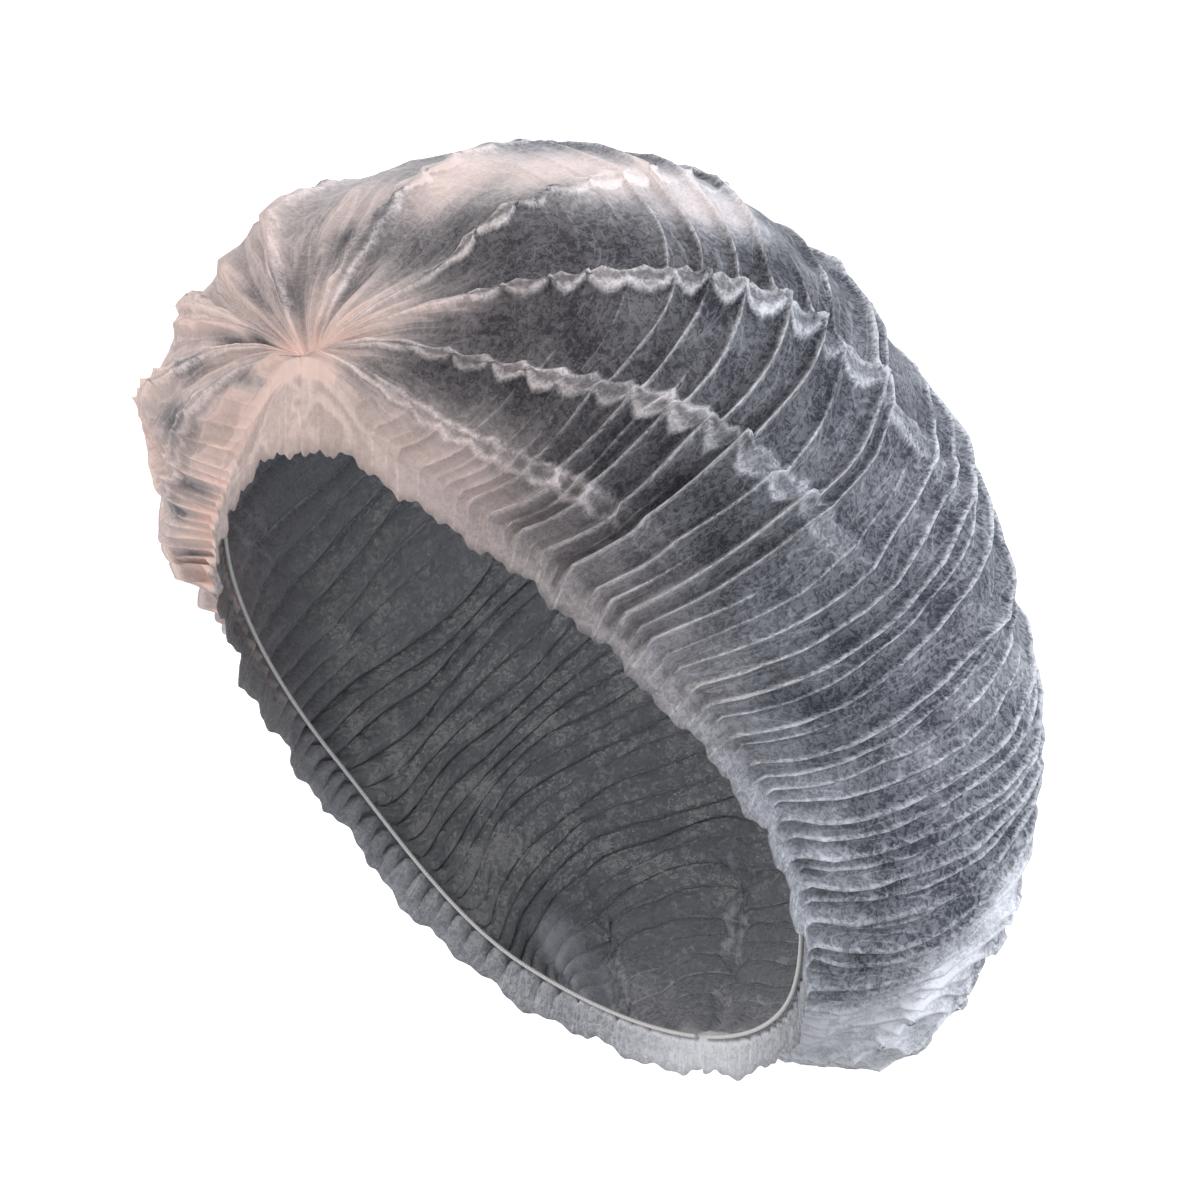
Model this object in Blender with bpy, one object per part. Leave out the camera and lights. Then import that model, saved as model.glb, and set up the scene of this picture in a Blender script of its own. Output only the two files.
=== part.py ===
"""Bouffant cap: a pleated sheet of white nonwoven with a frilled edge, held by two elastics and sealed at both ends.

The sheet is one long strip, pleated lengthwise and sealed at its front and rear ends. An elastic runs along
each long edge, from seal to seal. Opened on a head, the pleats spread into a crown, the elastics gather the
edges to the opening, and the cloth outside each elastic stands as a frill.

Metres, +Z up, the face towards -Y, the wearer's left side at +X. The origin is the middle of the opening.
"""
import math

import bpy
import numpy as np

# Opening, which the elastics draw together
OPENING_LENGTH = 0.205
OPENING_WIDTH = 0.154
OPENING_TILT = 45.0  # degrees that the opening leans back from level
OPENING_SHIFT = -0.0025  # how far the opening's middle lies behind the crown's
FRONT_RISE = 0.015  # the front seal pulls the edge up by this much
FRONT_REACH = 0.015  # and forward by this much
FRONT_SPREAD = 17.0  # degrees round the opening over which that pull fades
NAPE_DROP = 0.008  # the edge sinks by this much behind the ears
EAR_TURN = 95.0  # degrees round the opening where it starts to sink
NAPE_TURN = 140.0  # and where it has sunk all the way

# Crown, which bellies out over the opening
CROWN_LENGTH = 0.244
CROWN_WIDTH = 0.200
CROWN_RISE = 0.097  # from the widest section to the top
BELLY_HEIGHT = 0.040  # from the opening to the widest section
LEAST_BELLY = 1.02  # the least share of the opening's width that a section has

# Cloth
WALL = 0.0012
FRILL_WIDTH = 0.010
FRONT_DROP = 0.013  # more width at the front seal, where the strip's end fans down
FRONT_DROP_SPREAD = 0.08  # share of the strip over which that extra width fades

# Folds
GATHER_COUNT = 21
GATHER_HEIGHT = 0.0030
GATHER_FADE = 0.35  # share of a gather's height that is left on top of the crown
SEAL_FADE = 0.8  # how soon gathers die out towards the seals, as a power
FRILL_RIPPLE = 0.0026
PLEAT_HEIGHT = 0.0055
PLEAT_WIDTH = 0.085  # half a pleat's width, as a share of the way from top to edge
PLEAT_START = 0.10  # share of the strip, and of the way from edge to top, over which a pleat rises
PLEAT_FADE = 0.6  # how late a pleat dies out along its run, as a power
PUFF_HEIGHT = 0.012
PUFF_STOP = 12  # how close to the gathered edges a puff ends, as a power

# Elastics
ELASTIC_DIAMETER = 0.0018
CLEARANCE = 0.0004
ELASTIC_START = 0.018  # share of the strip where an elastic leaves the front seal
ELASTIC_END = 0.985  # and where it reaches the rear seal

# Mesh steps
STEPS_PER_GATHER = 4
CROWN_ROWS = 26
FRILL_ROWS = 2
ELASTIC_STEPS = 44

# One row for each section across the strip, from the front seal to the rear seal.
# along: share of the strip's length. edge_turn: degrees round the opening. crown_turn: degrees over the crown's
# profile. reach: share of the profile's ellipse. half_share: of half the crown's width. right_share: how much
# fuller the wearer's right side is.
SECTIONS = (
    dict(along=0.00, edge_turn=0, crown_turn=-15, reach=0.98, half_share=0.00, right_share=1.00),
    dict(along=0.06, edge_turn=10, crown_turn=2, reach=1.02, half_share=0.36, right_share=1.02),
    dict(along=0.13, edge_turn=22, crown_turn=18, reach=1.07, half_share=0.63, right_share=1.06),
    dict(along=0.25, edge_turn=42, crown_turn=42, reach=1.10, half_share=0.88, right_share=1.06),
    dict(along=0.40, edge_turn=68, crown_turn=75, reach=1.04, half_share=0.97, right_share=1.06),
    dict(along=0.55, edge_turn=96, crown_turn=106, reach=0.99, half_share=0.97, right_share=1.00),
    dict(along=0.70, edge_turn=122, crown_turn=136, reach=0.97, half_share=0.90, right_share=1.00),
    dict(along=0.82, edge_turn=145, crown_turn=162, reach=0.98, half_share=0.74, right_share=1.00),
    dict(along=0.92, edge_turn=164, crown_turn=189, reach=1.02, half_share=0.47, right_share=1.00),
    dict(along=1.00, edge_turn=180, crown_turn=210, reach=0.95, half_share=0.00, right_share=1.00),
)

# One row for each lengthwise pleat that still stands. across: 0 on top, 1 at the wearer's left edge, -1 at the
# right. front and rear: shares of the strip that it runs from each seal. height: share of PLEAT_HEIGHT.
PLEATS = (
    dict(across=0.90, front=0.30, rear=0.20, height=0.6),
    dict(across=0.76, front=0.46, rear=0.22, height=1.0),
    dict(across=0.54, front=0.52, rear=0.25, height=1.0),
    dict(across=0.26, front=0.34, rear=0.25, height=0.8),
    dict(across=0.00, front=0.30, rear=0.25, height=1.0),
    dict(across=-0.26, front=0.32, rear=0.25, height=0.9),
    dict(across=-0.54, front=0.40, rear=0.25, height=1.1),
    dict(across=-0.78, front=0.36, rear=0.22, height=1.0),
)

# One row for each loose puff or dent. along, across: its middle. spread_along, spread_across: its reach.
# height: share of PUFF_HEIGHT that it stands out. sag: share of PUFF_HEIGHT that it hangs down.
PUFFS = (
    dict(along=0.31, across=-0.86, spread_along=0.09, spread_across=0.13, height=0.5, sag=1.3),
    dict(along=0.42, across=-0.92, spread_along=0.06, spread_across=0.10, height=0.2, sag=0.7),
    dict(along=0.16, across=-0.78, spread_along=0.05, spread_across=0.12, height=0.3, sag=0.5),
    dict(along=0.22, across=-0.50, spread_along=0.05, spread_across=0.10, height=-0.5, sag=0.0),
    dict(along=0.10, across=-0.30, spread_along=0.04, spread_across=0.14, height=0.4, sag=0.0),
    dict(along=0.07, across=0.25, spread_along=0.03, spread_across=0.18, height=-0.4, sag=0.0),
    dict(along=0.93, across=0.60, spread_along=0.04, spread_across=0.20, height=0.3, sag=0.3),
    dict(along=0.93, across=-0.60, spread_along=0.04, spread_across=0.20, height=0.3, sag=0.3),
)

WHITE = (0.90, 0.90, 0.91, 1.0)
ELASTIC_WHITE = (0.93, 0.92, 0.90, 1.0)

TILT = math.radians(OPENING_TILT)
BACK = np.array([0.0, math.cos(TILT), -math.sin(TILT)])  # along the opening, from forehead to nape
OUT = np.array([0.0, math.sin(TILT), math.cos(TILT)])  # square to the opening, into the crown
UP = np.array([0.0, 0.0, 1.0])
HEART = OUT * BELLY_HEIGHT  # the crown's middle, from which folds stand out


def section(along):
    """The table's row at any share of the strip, read from a smooth curve through the rows."""
    names = list(SECTIONS[0])[1:]
    at = np.array([row["along"] for row in SECTIONS])
    values = np.array([[row[name] for name in names] for row in SECTIONS], float)
    slopes = np.gradient(values, at, axis=0)
    k = np.clip(np.searchsorted(at, along, side="right") - 1, 0, len(at) - 2)
    width = (at[k + 1] - at[k])[..., None]
    t = (np.asarray(along) - at[k])[..., None] / width
    mixed = (
        (2 * t**3 - 3 * t**2 + 1) * values[k]
        + (t**3 - 2 * t**2 + t) * width * slopes[k]
        + (3 * t**2 - 2 * t**3) * values[k + 1]
        + (t**3 - t**2) * width * slopes[k + 1]
    )
    return {name: mixed[..., i] for i, name in enumerate(names)}


def in_space(x, back, out):
    """Points from the side, lengthwise and outward distances of the tilted opening."""
    return x[..., None] * np.array([1.0, 0.0, 0.0]) + back[..., None] * BACK + out[..., None] * OUT


def edge_parts(along):
    """Half width, lengthwise place and rise of the gathered edge."""
    row = section(along)
    turn = np.radians(row["edge_turn"])
    pull = np.exp(-((turn / math.radians(FRONT_SPREAD)) ** 2))
    x = OPENING_WIDTH / 2 * np.sin(turn)
    back = OPENING_SHIFT - OPENING_LENGTH / 2 * np.cos(turn) - FRONT_REACH * pull
    behind = np.clip((row["edge_turn"] - EAR_TURN) / (NAPE_TURN - EAR_TURN), 0, 1)
    return x, back, FRONT_RISE * pull - NAPE_DROP * behind**2 * (3 - 2 * behind)


def edge_point(along, side):
    """The sheet's gathered edge, side 1 for the wearer's left and -1 for the right."""
    x, back, rise = edge_parts(along)
    return in_space(side * x, back, rise)


def wave(phase):
    """Even waves, 1 at whole numbers and 0 halfway between."""
    return 0.5 + 0.5 * np.cos(2 * math.pi * phase)


def end_fade(along):
    """0 at both seals and 1 along the middle of the strip."""
    return np.clip(np.sin(math.pi * along), 0, 1) ** SEAL_FADE


def fold_height(along, across):
    """How far gathers, pleats and puffs stand out from the plain crown."""
    climb = GATHER_FADE + (1 - GATHER_FADE) * np.abs(across) ** 2
    height = GATHER_HEIGHT * wave(GATHER_COUNT * along) * end_fade(along) * climb
    for pleat in PLEATS:
        near = np.exp(-(((across - pleat["across"]) / PLEAT_WIDTH) ** 2))
        from_front = np.clip(1 - along / pleat["front"], 0, 1)
        from_rear = np.clip(1 - (1 - along) / pleat["rear"], 0, 1)
        start = np.clip(np.minimum(along, 1 - along) / PLEAT_START, 0, 1)
        run = np.maximum(from_front, from_rear) ** PLEAT_FADE * start
        edge_free = np.clip((1 - np.abs(across)) / PLEAT_START, 0, 1)
        height = height + PLEAT_HEIGHT * pleat["height"] * near * run * edge_free
    return height + puff_share(along, across, "height") * PUFF_HEIGHT


def puff_share(along, across, column):
    """One column of the puffs, each fading over its reach and ending at the gathered edges."""
    total = np.zeros_like(along + across)
    for puff in PUFFS:
        ring = ((along - puff["along"]) / puff["spread_along"]) ** 2
        ring = ring + ((across - puff["across"]) / puff["spread_across"]) ** 2
        total = total + puff[column] * np.exp(-ring) * (1 - across**PUFF_STOP)
    return total


def crown_point(along, across):
    """The crown: each section is an arc of an ellipse from edge to edge, bellied out past the edge."""
    row = section(along)
    edge_x, edge_back, edge_rise = edge_parts(along)
    turn = np.radians(row["crown_turn"])
    top_back = -CROWN_LENGTH / 2 * np.cos(turn) * row["reach"]
    top_out = BELLY_HEIGHT + CROWN_RISE * np.sin(turn) * row["reach"]
    fuller = 1 + (row["right_share"] - 1) * (across < 0)
    half = np.maximum(CROWN_WIDTH / 2 * row["half_share"] * fuller, edge_x * LEAST_BELLY + 1e-9)
    start = -np.arccos(np.clip(edge_x / half, 0, 1))
    angle = start + (math.pi / 2 - start) * (1 - np.abs(across))
    climb = (np.sin(angle) - np.sin(start)) / (1 - np.sin(start))
    plain = in_space(
        half * np.cos(angle) * np.sign(across),
        edge_back + (top_back - edge_back) * climb,
        edge_rise + (top_out - edge_rise) * climb,
    )
    away = plain - HEART
    away = away / np.linalg.norm(away, axis=-1, keepdims=True)
    sag = PUFF_HEIGHT * puff_share(along, across, "sag")
    return plain + away * fold_height(along, across)[..., None] - UP * sag[..., None]


def head_facing(point):
    """Level direction out of the head at a point of the edge."""
    away = point * np.array([4 / OPENING_WIDTH**2, 4 / (OPENING_LENGTH * BACK[1]) ** 2, 0.0])
    return away / np.linalg.norm(away, axis=-1, keepdims=True)


def frill_point(along, side, down):
    """The frill beyond one elastic, down 0 at the elastic and 1 at its free edge.

    It falls straight down at both seals and square to the opening beside the ears.
    """
    edge = edge_point(along, side)
    facing = head_facing(edge)
    beside = np.sin(np.radians(section(along)["edge_turn"]))[..., None] ** 2
    fall = -(OUT * beside + UP * (1 - beside))
    fall = fall - facing * np.sum(fall * facing, axis=-1, keepdims=True)
    fall = fall / np.linalg.norm(fall, axis=-1, keepdims=True)
    width = FRILL_WIDTH + FRONT_DROP * np.exp(-((along / FRONT_DROP_SPREAD) ** 2))
    ripple = FRILL_RIPPLE * wave(GATHER_COUNT * along) * end_fade(along)
    root = fold_height(along, np.full_like(along, float(side)))
    away = edge - HEART
    away = away / np.linalg.norm(away, axis=-1, keepdims=True)
    stand = away * (root * (1 - down))[..., None] + facing * (ripple * down)[..., None]
    return edge + stand + fall * (width * down)[..., None]


def sheet_grid():
    """Rows of points from the left frill's free edge over the crown to the right frill's free edge."""
    along = np.linspace(0, 1, GATHER_COUNT * STEPS_PER_GATHER + 1)
    rows = [frill_point(along, 1, down) for down in np.linspace(1, 0, FRILL_ROWS + 1)[:-1]]
    rows += [crown_point(along, np.full_like(along, across)) for across in np.linspace(1, -1, CROWN_ROWS + 1)]
    rows += [frill_point(along, -1, down) for down in np.linspace(0, 1, FRILL_ROWS + 1)[1:]]
    return np.array(rows)


def finish(obj, colour, roughness):
    """A plain material of the piece's own."""
    material = bpy.data.materials.new(obj.name)
    material.use_nodes = True
    shader = material.node_tree.nodes["Principled BSDF"]
    shader.inputs["Base Color"].default_value = colour
    shader.inputs["Roughness"].default_value = roughness
    shader.inputs["Metallic"].default_value = 0.0
    obj.data.materials.append(material)
    bpy.context.scene.collection.objects.link(obj)


def make_sheet():
    """The sheet, its left and right frills joined down the middle at both seals, thickened inwards."""
    grid = sheet_grid()
    count, length = grid.shape[:2]
    index = np.full((count, length), -1)
    points = []
    for j in range(count):
        for i in range(length):
            at_seal = i in (0, length - 1)
            twin = None
            if at_seal and FRILL_ROWS < j < count - FRILL_ROWS:
                twin = index[FRILL_ROWS, i]
            if at_seal and j >= count - FRILL_ROWS:
                twin = index[count - 1 - j, i]
            if twin is None:
                index[j, i] = len(points)
                points.append(grid[j, i])
            else:
                index[j, i] = twin
    faces = []
    for j in range(count - 1):
        for i in range(length - 1):
            corners = [index[j, i], index[j, i + 1], index[j + 1, i + 1], index[j + 1, i]]
            faces.append(list(dict.fromkeys(int(c) for c in corners)))
    mesh = bpy.data.meshes.new("pleated_sheet")
    mesh.from_pydata([tuple(p) for p in points], [], [f for f in faces if len(f) > 2])
    mesh.update()
    mesh.shade_smooth()
    sheet = bpy.data.objects.new("pleated_sheet", mesh)
    finish(sheet, WHITE, 0.9)
    wall = sheet.modifiers.new("wall", "SOLIDIFY")
    wall.thickness = WALL
    wall.offset = -1.0
    wall.use_rim = True


def make_elastic(name, side):
    """A round elastic inside one edge, ending beside each seal."""
    along = np.linspace(ELASTIC_START, ELASTIC_END, ELASTIC_STEPS)
    edge = edge_point(along, side)
    inside = WALL + CLEARANCE + ELASTIC_DIAMETER / 2
    route = edge - head_facing(edge) * inside
    curve = bpy.data.curves.new(name, "CURVE")
    curve.dimensions = "3D"
    curve.bevel_depth = ELASTIC_DIAMETER / 2
    curve.bevel_resolution = 1
    curve.use_fill_caps = True
    spline = curve.splines.new("POLY")
    spline.points.add(len(route) - 1)
    for point, place in zip(spline.points, route):
        point.co = (*place, 1.0)
    finish(bpy.data.objects.new(name, curve), ELASTIC_WHITE, 0.6)


def main():
    for old in list(bpy.data.objects):
        bpy.data.objects.remove(old)
    make_sheet()
    make_elastic("left_elastic", 1)
    make_elastic("right_elastic", -1)


main()
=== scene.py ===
# %% [markdown]
# # A bouffant cap of sheer white nonwoven
#
# The cap is one long strip of very thin cloth, folded lengthwise into pleats and fused at both ends.
# An elastic runs along each long edge. When it is worn, the pleats open into a full crown, and the
# elastics pull the edges into tight gathers with a small frill outside them.
#
# We work in metres, with +Z up and the cap's front towards -Y. The origin is the middle of the opening.
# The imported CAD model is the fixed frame: it gives the places, and this file adds the fine surface.

# %% Load the frame
import math

import bpy
import numpy as np
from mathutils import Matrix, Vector


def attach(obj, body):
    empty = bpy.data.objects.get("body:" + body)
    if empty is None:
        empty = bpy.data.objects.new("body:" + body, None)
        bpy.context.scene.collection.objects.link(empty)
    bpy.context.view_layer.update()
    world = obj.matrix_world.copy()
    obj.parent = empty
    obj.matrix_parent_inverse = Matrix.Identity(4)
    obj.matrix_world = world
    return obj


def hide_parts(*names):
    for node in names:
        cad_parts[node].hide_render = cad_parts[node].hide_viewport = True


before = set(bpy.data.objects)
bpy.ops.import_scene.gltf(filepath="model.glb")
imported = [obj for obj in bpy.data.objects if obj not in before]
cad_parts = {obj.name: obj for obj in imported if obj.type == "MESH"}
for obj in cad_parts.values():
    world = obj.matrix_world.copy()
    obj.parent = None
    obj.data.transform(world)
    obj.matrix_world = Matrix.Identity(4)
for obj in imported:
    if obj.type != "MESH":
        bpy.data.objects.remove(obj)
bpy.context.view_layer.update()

# %% [markdown]
# ## The camera
#
# The picture was taken level with the cap, from the wearer's left front. A long lens from 1.27 m keeps the
# perspective flat. We could point the camera with a constraint, but a rotation worked out once is easier
# to read: the camera looks along its own -Z, so we turn that axis onto the line of sight.

# %% Camera
CAMERA_AZIMUTH = math.radians(45)
CAMERA_DISTANCE = 1.27
CAMERA_LENS = 150.5
SENSOR_WIDTH = 36.0
VIEW_END = 60.0
CAP_MIDDLE = Vector((0.0, 0.0198, 0.0368))
AIM_RIGHT = 0.00506

camera_back = Vector((math.sin(CAMERA_AZIMUTH), -math.cos(CAMERA_AZIMUTH), 0.0))
camera_right = Vector((math.cos(CAMERA_AZIMUTH), math.sin(CAMERA_AZIMUTH), 0.0))
camera_data = bpy.data.cameras.new("camera")
camera_data.lens = CAMERA_LENS
camera_data.sensor_width = SENSOR_WIDTH
camera_data.clip_end = VIEW_END
camera = bpy.data.objects.new("camera", camera_data)
camera.location = CAP_MIDDLE + camera_right * AIM_RIGHT + camera_back * CAMERA_DISTANCE
camera.rotation_mode = "QUATERNION"
camera.rotation_quaternion = (-camera_back).to_track_quat("-Z", "Y")
bpy.context.scene.collection.objects.link(camera)
bpy.context.scene.camera = camera
print("camera at", [round(x, 3) for x in camera.location])

# %% [markdown]
# ## Sizes
#
# These are the sizes of the CAD model: an oval opening that leans back 45 degrees, and a crown that
# bellies out over it. Every later shape is worked out from them, so the fine surface stays where the
# solid is.

# %% Sizes of the opening and the crown
OPENING_LENGTH = 0.205
OPENING_WIDTH = 0.154
OPENING_SHIFT = -0.0025
FRONT_RISE = 0.015
FRONT_REACH = 0.015
FRONT_SPREAD = math.radians(17)
NAPE_DROP = 0.008
EAR_TURN = 95.0
NAPE_TURN = 140.0
CROWN_LENGTH = 0.244
CROWN_WIDTH = 0.200
CROWN_RISE = 0.097
BELLY_HEIGHT = 0.040
LEAST_BELLY = 1.02
WALL = 0.00028
FRILL_WIDTH = 0.010
FRONT_DROP = 0.013
FRONT_DROP_SPREAD = 0.08

TILT = math.radians(45)
ACROSS = np.array([1.0, 0.0, 0.0])
UP = np.array([0.0, 0.0, 1.0])
BACK = np.array([0.0, math.cos(TILT), -math.sin(TILT)])
OUT = np.array([0.0, math.sin(TILT), math.cos(TILT)])
HEART = OUT * BELLY_HEIGHT

# %% [markdown]
# ## Sections across the strip
#
# A loft in Blender could be a row of curves bridged together. Here each section is a row of a table, read
# at any place by a smooth curve through the rows, so the whole surface is one function of two parameters:
# `along` runs from the forehead seal (0) to the nape seal (1), and `across` from the wearer's left edge (1)
# over the top (0) to the right edge (-1).

# %% Table of sections
SECTION_COLUMNS = ("along", "edge_turn", "crown_turn", "reach", "half_share", "right_share")
SECTIONS = np.array([
    (0.00, 0, -15, 0.98, 0.00, 1.00),
    (0.06, 10, 2, 1.02, 0.36, 1.02),
    (0.13, 22, 18, 1.07, 0.63, 1.06),
    (0.25, 42, 42, 1.10, 0.88, 1.06),
    (0.40, 68, 75, 1.04, 0.97, 1.06),
    (0.55, 96, 106, 0.99, 0.97, 1.00),
    (0.70, 122, 136, 0.97, 0.90, 1.00),
    (0.82, 145, 162, 0.98, 0.74, 1.00),
    (0.92, 164, 189, 1.02, 0.47, 1.00),
    (1.00, 180, 210, 0.95, 0.00, 1.00),
])


def section(along):
    """Every column at any place: cubics between the rows, whose slopes are the table's own differences."""
    at, values = SECTIONS[:, 0], SECTIONS[:, 1:]
    slopes = np.gradient(values, at, axis=0)
    row = np.clip(np.searchsorted(at, along, side="right") - 1, 0, len(at) - 2)
    width = (at[row + 1] - at[row])[..., None]
    t = (along - at[row])[..., None] / width
    mixed = (
        (2 * t**3 - 3 * t**2 + 1) * values[row]
        + (t**3 - 2 * t**2 + t) * width * slopes[row]
        + (3 * t**2 - 2 * t**3) * values[row + 1]
        + (t**3 - t**2) * width * slopes[row + 1]
    )
    return {name: mixed[..., i] for i, name in enumerate(SECTION_COLUMNS[1:])}


def in_space(x, back, out):
    """Side, lengthwise and outward distances of the tilted opening, summed as vectors."""
    return x[..., None] * ACROSS + back[..., None] * BACK + out[..., None] * OUT


def smooth_step(low, high, value):
    """0 below low, 1 above high, and 3t^2 - 2t^3 between."""
    t = np.clip((value - low) / (high - low), 0, 1)
    return t * t * (3 - 2 * t)


def unit(vectors):
    """Each vector divided by its length."""
    return vectors / np.maximum(np.linalg.norm(vectors, axis=-1, keepdims=True), 1e-12)


# %% The gathered edge
def edge_parts(along):
    """Half an ellipse, pulled up and forward near the forehead by a bell curve, sunk behind the ears."""
    row = section(along)
    turn = np.radians(row["edge_turn"])
    pull = np.exp(-((turn / FRONT_SPREAD) ** 2))
    x = OPENING_WIDTH / 2 * np.sin(turn)
    back = OPENING_SHIFT - OPENING_LENGTH / 2 * np.cos(turn) - FRONT_REACH * pull
    behind = smooth_step(EAR_TURN, NAPE_TURN, row["edge_turn"])
    return x, back, FRONT_RISE * pull - NAPE_DROP * behind


def edge_point(along, side):
    """A point of the edge, side 1 for the wearer's left and -1 for the right."""
    x, back, rise = edge_parts(along)
    return in_space(side * x, back, rise)


def plain_crown(along, across):
    """Each section is an arc of an ellipse from the edge to the top, bellied out past the edge."""
    row = section(along)
    edge_x, edge_back, edge_rise = edge_parts(along)
    turn = np.radians(row["crown_turn"])
    top_back = -CROWN_LENGTH / 2 * np.cos(turn) * row["reach"]
    top_out = BELLY_HEIGHT + CROWN_RISE * np.sin(turn) * row["reach"]
    fuller = 1 + (row["right_share"] - 1) * (across < 0)
    half = np.maximum(CROWN_WIDTH / 2 * row["half_share"] * fuller, edge_x * LEAST_BELLY + 1e-9)
    start = -np.arccos(np.clip(edge_x / half, 0, 1))
    angle = start + (math.pi / 2 - start) * (1 - np.abs(across))
    climb = (np.sin(angle) - np.sin(start)) / (1 - np.sin(start))
    return in_space(
        half * np.cos(angle) * np.sign(across),
        edge_back + (top_back - edge_back) * climb,
        edge_rise + (top_out - edge_rise) * climb,
    )


def level_outward(point):
    """Level direction out of the opening: the gradient of an ellipse round it, seen from above."""
    weights = np.array([4 / OPENING_WIDTH**2, 4 / (OPENING_LENGTH * BACK[1]) ** 2, 0.0])
    return unit(point * weights)


# %% [markdown]
# ## Gathers
#
# An elastic shortens the edge to little more than half the cloth's length, so the spare cloth stands up in
# folds that run from ear to ear. Each fold is a sharp crest with a shallow valley beside it. Sculpting
# them would take hours and a noise texture would look like dents, so we place them by rule: every crest
# has its own height and lean, some die out on the way to the top, and behind the ears they all sag before
# they sweep up. The mesh columns follow the crests, which keeps the creases sharp with few faces.

# %% Gather table
GATHERS = 66
GATHER_HEIGHT = 0.0064
CREST_FADE = 0.22
TOP_BLEND = 0.15
rng = np.random.default_rng(21)
strong = np.arange(GATHERS + 1) % 2 == 0
crest_gap = np.append(0, rng.uniform(0.75, 1.25, GATHERS) * np.linspace(0.75, 1.2, GATHERS))
crest_place = np.cumsum(crest_gap) / crest_gap.sum()
behind_ear = smooth_step(0.32, 0.50, crest_place)
crest_height = rng.uniform(0.45, 1.35, (2, GATHERS + 1)) * np.where(strong, 1.0, 0.75 + 0.15 * behind_ear)
crest_dies = rng.random((2, GATHERS + 1)) < np.where(strong, 0.2, 0.95) * (1 - 0.78 * behind_ear)
crest_start = rng.uniform(0.3, 0.85, (2, GATHERS + 1)) + np.where(strong, 0.0, 0.20) * (1 - behind_ear)
crest_start = np.where(crest_dies, np.minimum(crest_start, 0.95), -1.0)
crest_lean = rng.uniform(-1, 1, (2, GATHERS // 2 + 1))
print("gathers that die out before the top:", int(crest_dies.sum()), "of", crest_dies.size)


def left_share(across):
    """1 on the wearer's left, 0 on the right, blended over the top."""
    return smooth_step(-TOP_BLEND, TOP_BLEND, across)


def place_of(phase):
    """Share of the strip at any phase, which counts crests: straight lines between uneven crest places."""
    return np.interp(phase, np.arange(GATHERS + 1), crest_place)


def end_fade(along):
    """0 at both seals and 1 between, from a sine."""
    return np.clip(np.sin(math.pi * along), 0, 1) ** 0.8


def from_crest(phase):
    """Distance to the nearest crest, in gathers."""
    return np.abs(phase - np.rint(phase))


def two_sided(pair, phase, across, step=1):
    """The nearest crest's left and right values, blended over the top. Step 2 reads strong crests alone."""
    crest = np.clip((np.rint(phase / step) * step).astype(int), 0, GATHERS)
    left = left_share(across)
    return pair[0][crest] * left + pair[1][crest] * (1 - left)


def alive(phase, across, step=1):
    """1 where a gather shows, 0 above the place where it dies out."""
    start = two_sided(crest_start, phase, across, step)
    return smooth_step(start, start + CREST_FADE, np.abs(across))


def gather_share(phase, across):
    """How tall a gather stands: taller at the edge, low at the forehead, gone above where it dies out."""
    along = place_of(phase)
    climb = 0.42 + 0.58 * across**2
    behind = smooth_step(0.10, 0.36, along)
    every_second = strong[np.clip(np.rint(phase).astype(int), 0, GATHERS)]
    at_edge = smooth_step(0.78, 1.0, np.abs(across))
    past_brow = smooth_step(0.12, 0.24, along)
    forehead = np.where(every_second, past_brow * (1 - at_edge) + 0.35 * at_edge, 0.12 * at_edge)
    low = behind + (1 - behind) * forehead
    return two_sided(crest_height, phase, across) * alive(phase, across) * climb * low * end_fade(along)


CREST_WIDTH = 0.09


def gather_fold(phase, across):
    """Height of the gathers: a low cosine wave plus a thin exponential crest, times each fold's share."""
    t = from_crest(phase)
    wave = np.cos(math.pi * t) ** 2
    crest = np.maximum(np.exp(-t / CREST_WIDTH) - 0.004, 0)
    return (0.45 * wave + 0.55 * crest) * gather_share(phase, across) * GATHER_HEIGHT


# Each row: size in gathers, turn over the cap's half width, turn per gather, start.
STRAY_WAVES = (
    (0.80, 5.1, 0.14, 0.0),
    (0.40, 11.3, -0.30, 1.3),
    (0.05, 37.0, 2.30, 0.0),
    (0.14, 21.0, 0.90, 0.0),
)
LEAN = 0.46
LEAN_TURN = 9.0
SAG = 3.0
SAG_REACH = 0.22


def gather_wander(phase, across):
    """How far a crest strays along the strip, in gathers: sines, a lean of its own and a sag.

    Behind the ears every gather leaves the edge square to it, sags towards the nape and then sweeps up:
    the sag is u e^(1-u), with u growing from 0 at the edge. All of it vanishes at both edges and both
    seals, and never changes by a whole gather from one crest to the next, so that no fold crosses another.
    Where two crests lean together they meet like a branch.
    """
    lean_left, lean_right = (np.interp(phase, np.arange(0, GATHERS + 1, 2), lean) for lean in crest_lean)
    left = left_share(across)
    lean = lean_left * left + lean_right * (1 - left)
    bend = LEAN * lean * np.sin(LEAN_TURN * across)
    for size, turn_across, turn_along, start in STRAY_WAVES:
        bend = bend + size * np.sin(turn_across * across + turn_along * phase + start)
    u = (1 - np.abs(across)) / SAG_REACH
    sag = SAG * u * np.exp(1 - u) * smooth_step(0.36, 0.62, place_of(phase))
    return (bend * (1 - across**6) + sag) * end_fade(place_of(phase))


# %% [markdown]
# ## Pleats
#
# The strip was folded lengthwise before its ends were fused, and near the seals these pleats are still
# shut. They show as standing folds that start at the forehead seal and run back, zigzagging where the
# gathers cross them. In Blender one could crease edge loops; we do the same in numpy by giving each pleat
# its own group of mesh rows. The table says how far each pleat stays shut from either seal.

# %% Pleat table
PLEAT_HEIGHT = 0.0045
PLEAT_LAP = 0.026
PLEAT_BELL = 0.05
PLEAT_PULL = 0.07
SCALLOP = 0.033
SCALLOP_POINT = 1.4
JOG = 0.5
FOLD_LINE = 0.005
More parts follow.
